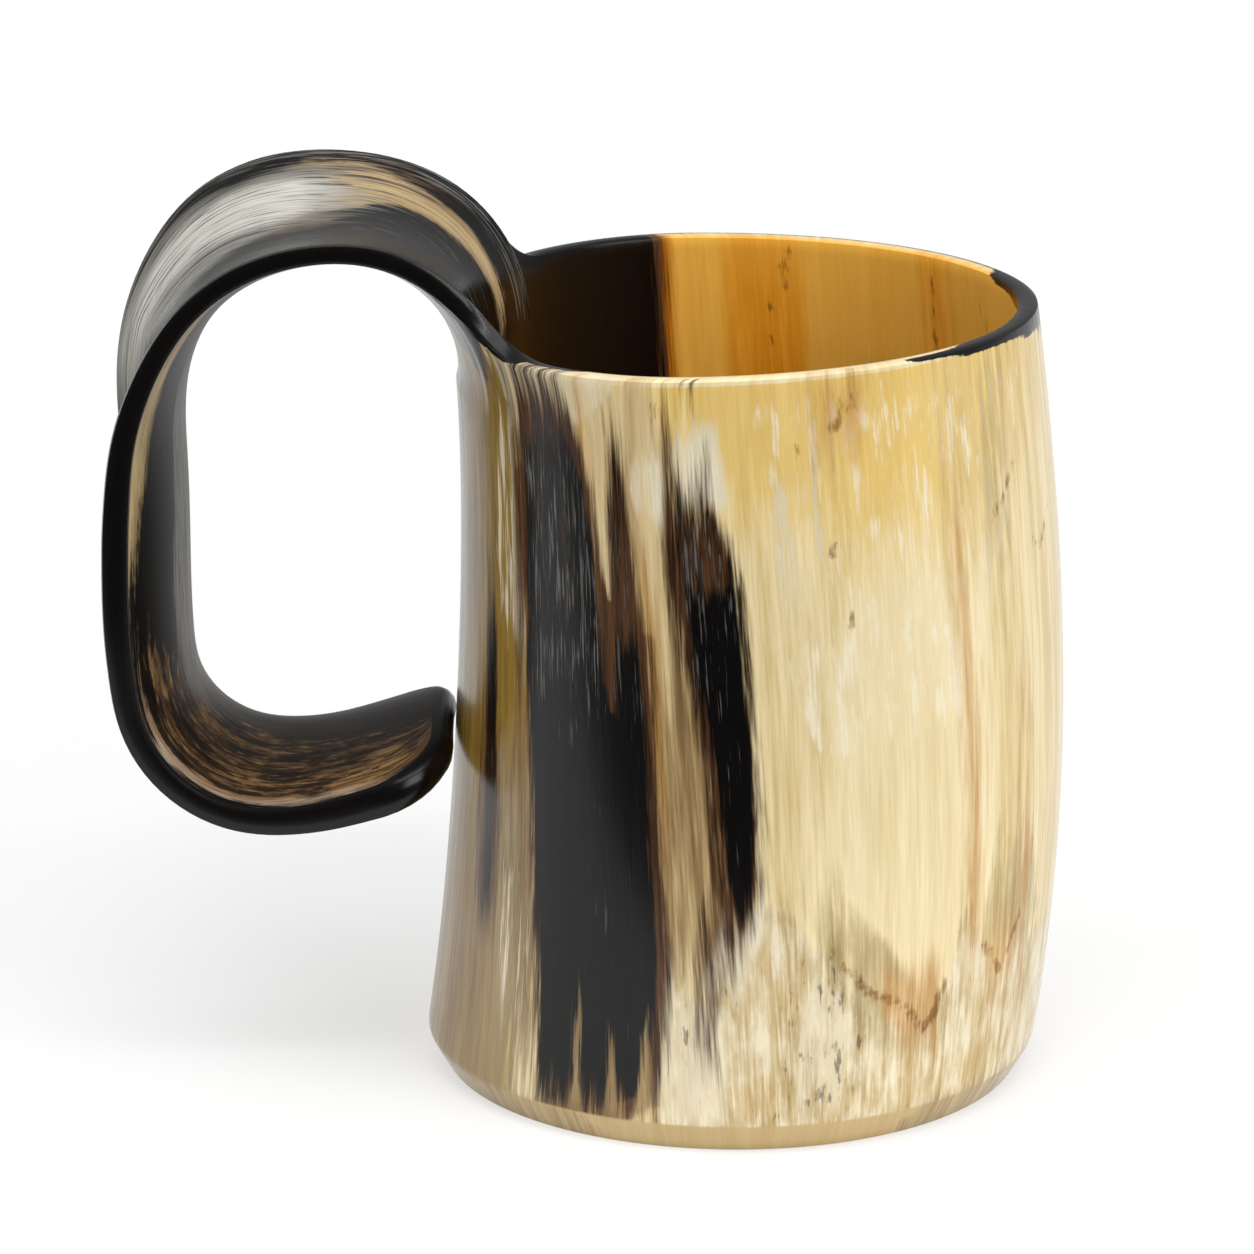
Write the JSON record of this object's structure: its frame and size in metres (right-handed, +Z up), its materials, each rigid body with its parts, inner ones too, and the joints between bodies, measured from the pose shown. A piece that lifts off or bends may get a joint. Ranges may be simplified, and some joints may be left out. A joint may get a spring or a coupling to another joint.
{
  "type": "horn drinking cup",
  "caption": "Polished horn mug whose wall runs on past the rim as a broad tongue bent into a hook handle, closed by an inset horn base disc sealed with adhesive.",
  "frame": {"origin": "centre of the foot, on the surface the cup stands on", "axes": "+Z up, handle towards -X, Y across the handle's width"},
  "size_m": [0.1381, 0.0908, 0.1312],
  "materials": {
    "polished_horn": "polished cattle horn, cream to amber with near black pigment streaks along the fibre, lacquered gloss",
    "base_horn": "flat pressed horn plate, satin, tan with darker fibre",
    "adhesive": "cured clear amber adhesive, glossy"
  },
  "bodies": {
    "root": {"horn_body": "polished_horn", "base_disc": "base_horn", "glue_seam": "adhesive"}
  },
  "joints": []
}
